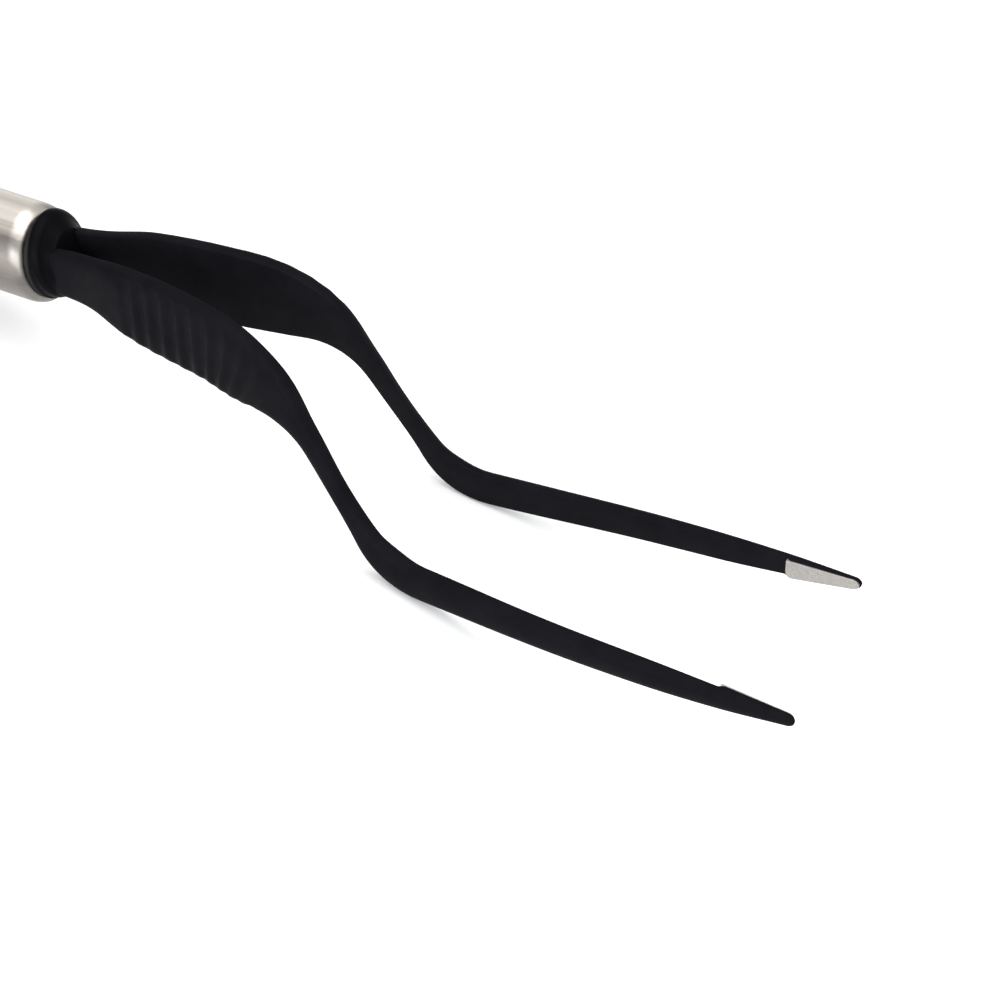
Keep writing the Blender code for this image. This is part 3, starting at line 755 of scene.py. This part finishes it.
def make_barrel():
    """Steel tube with a rounded, raked mouth and a hole for the lock screw."""
    look = LOOKS["satin_steel"]
    long, high = MOUTH
    profile = arc((BARREL_FRONT - long, BARREL_R - high), MOUTH, 0, 90, 14)
    rear_edge = (BARREL_REAR + BARREL_RIM, BARREL_R - BARREL_RIM)
    profile += arc(rear_edge, (BARREL_RIM, BARREL_RIM), 90, 180, 8)
    profile += [(BARREL_REAR, BORE_R), (BARREL_FRONT, BORE_R)]
    barrel = turned("steel_barrel", profile, look, steps=128)
    rake(barrel, BARREL_FRONT - long - RAKE_MARGIN)
    cut(barrel, [rod("hole", (SCREW_X, 0.0, -3.0), (SCREW_X, 0.0, -7.0), SCREW_R, 32, look)])
    on_handle(barrel, "barrel")


def make_rear_plug():
    """Rear insulator with a rounded flange, two pin holes and a blind hole for the lock screw."""
    look = LOOKS["insulator"]
    behind = BARREL_REAR - GASKET_ROOM
    profile = [(PLUG_FRONT, 0.0), (PLUG_FRONT, SPIGOT_R - PLUG_CHAMFER)]
    profile += [(PLUG_FRONT - PLUG_CHAMFER, SPIGOT_R), (behind, SPIGOT_R)]
    profile += [(behind, FLANGE_R - FLANGE_CHAMFER), (behind - FLANGE_CHAMFER, FLANGE_R)]
    rear_edge = (REAR_FACE + FLANGE_FILLET, FLANGE_R - FLANGE_FILLET)
    profile += arc(rear_edge, (FLANGE_FILLET, FLANGE_FILLET), 90, 180, 8)
    profile += [(REAR_FACE, 0.0)]
    plug = turned("rear_plug", profile, look)
    cutters = []
    for _, side in SIDES:
        start, end = (PLUG_FRONT + 1.9, side * PIN_Y, 0.0), (REAR_FACE - 1.0, side * PIN_Y, 0.0)
        cutters.append(rod("hole", start, end, PIN_R + PIN_ROOM, 48, look))
    cutters.append(rod("hole", (SCREW_X, 0.0, -2.4), (SCREW_X, 0.0, -6.0), SCREW_R, 32, look))
    cut(plug, cutters)
    on_handle(plug, "rear_insulator")


def make_pin(word, side):
    """Contact pin with a thinner tail inside the barrel and a round end outside."""
    profile = [(PIN_TAIL_FRONT, 0.0), (PIN_TAIL_FRONT, PIN_TAIL_R), (PLUG_FRONT, PIN_TAIL_R)]
    profile += [(PLUG_FRONT, PIN_R - PIN_CHAMFER), (PLUG_FRONT - PIN_CHAMFER, PIN_R)]
    profile += arc((PIN_REAR + PIN_R, 0.0), (PIN_R, PIN_R), 90, 172, 9)
    profile += [(PIN_REAR, 0.0)]
    pin = turned(f"{word}_plug_pin", profile, LOOKS["contact_pin"], 48, (side * PIN_Y, 0.0))
    on_handle(pin, f"{word}_contact_pin")


def finish_cad_nodes():
    """Gives each CAD node the look of its material slot."""
    for part in frame["record"]["subparts"]:
        node = frame["nodes"][part["node"]]
        node.data.materials.clear()
        node.data.materials.append(LOOKS[part["material_slot"]])


# ---------------------------------------------------------------- studio


# The camera, in the tool frame: angles in radians, lengths in millimetres
CAMERA_TARGET = (57.83, 0.0, -15.22)
CAMERA_AZIMUTH = 0.42
CAMERA_ELEVATION = 0.77
CAMERA_DISTANCE = 254.53
CAMERA_ROLL = 0.03
CAMERA_LENS = 76.91

# The studio, in world metres and watts. A light is: name, place, aim, size, power, colour.
WHITE = (1.0, 1.0, 1.0)
SOFTBOXES = (
    ("overhead", (0.05, 0.0, 0.8), (0.0, 0.0, 0.0), (1.0, 1.0), 7.5, WHITE),
    ("front", (0.15, -0.7, 0.32), (0.0, 0.0, 0.01), (0.9, 0.5), 6.0, (0.96, 0.98, 1.0)),
    ("strip", (-0.31, 0.25, 0.79), (-0.06, 0.0, 0.02), (0.5, 0.3), 0.7, WHITE),
)
SURROUND = 0.6
FLOOR_SIZE = 3.0
FLOOR_DROP = 0.00005


def make_camera():
    """Camera at the photograph's angle, given in the tool frame."""
    az, el, roll = CAMERA_AZIMUTH, CAMERA_ELEVATION, CAMERA_ROLL
    back = Vector((math.sin(az) * math.cos(el), -math.cos(az) * math.cos(el), math.sin(el)))
    right = Vector((math.cos(az), math.sin(az), 0.0))
    up = back.cross(right)
    turned_right = math.cos(roll) * right + math.sin(roll) * up
    turned_up = math.cos(roll) * up - math.sin(roll) * right
    data = bpy.data.cameras.new("camera")
    data.lens = CAMERA_LENS
    data.sensor_width = 36.0
    data.clip_start = 0.01
    camera = bpy.data.objects.new("camera", data)
    bpy.context.scene.collection.objects.link(camera)
    turn = Matrix((turned_right, turned_up, back)).transposed().to_4x4()
    spot = Vector(CAMERA_TARGET) + back * CAMERA_DISTANCE
    camera.matrix_world = TOOL @ Matrix.Translation(spot * MM) @ turn
    bpy.context.scene.camera = camera


def softbox(name, spot, target, size, power, colour):
    """Rectangular area light at a world point, aimed at another."""
    data = bpy.data.lights.new(name, "AREA")
    data.shape = "RECTANGLE"
    data.size, data.size_y = size
    data.energy = power
    data.color = colour
    light = bpy.data.objects.new(name, data)
    bpy.context.scene.collection.objects.link(light)
    light.location = spot
    light.rotation_euler = (Vector(spot) - Vector(target)).to_track_quat("Z", "Y").to_euler()


def make_studio():
    """Pale floor just under the tool, an even white surround and three softboxes."""
    mesh = bmesh.new()
    bmesh.ops.create_grid(mesh, x_segments=1, y_segments=1, size=FLOOR_SIZE)
    floor = solid("floor", mesh, floor_look())
    floor.location.z = -FLOOR_DROP
    world = bpy.data.worlds.new("studio")
    world.use_nodes = True
    background = world.node_tree.nodes["Background"]
    background.inputs["Color"].default_value = (*WHITE, 1.0)
    background.inputs["Strength"].default_value = SURROUND
    bpy.context.scene.world = world
    for light in SOFTBOXES:
        softbox(*light)
    bpy.context.scene.view_settings.view_transform = "Standard"


for word, side in SIDES:
    make_coat(word, side)
    make_contact(word, side)
make_collar()
make_barrel()
make_rear_plug()
for word, side in SIDES:
    make_pin(word, side)
finish_cad_nodes()
make_camera()
make_studio()
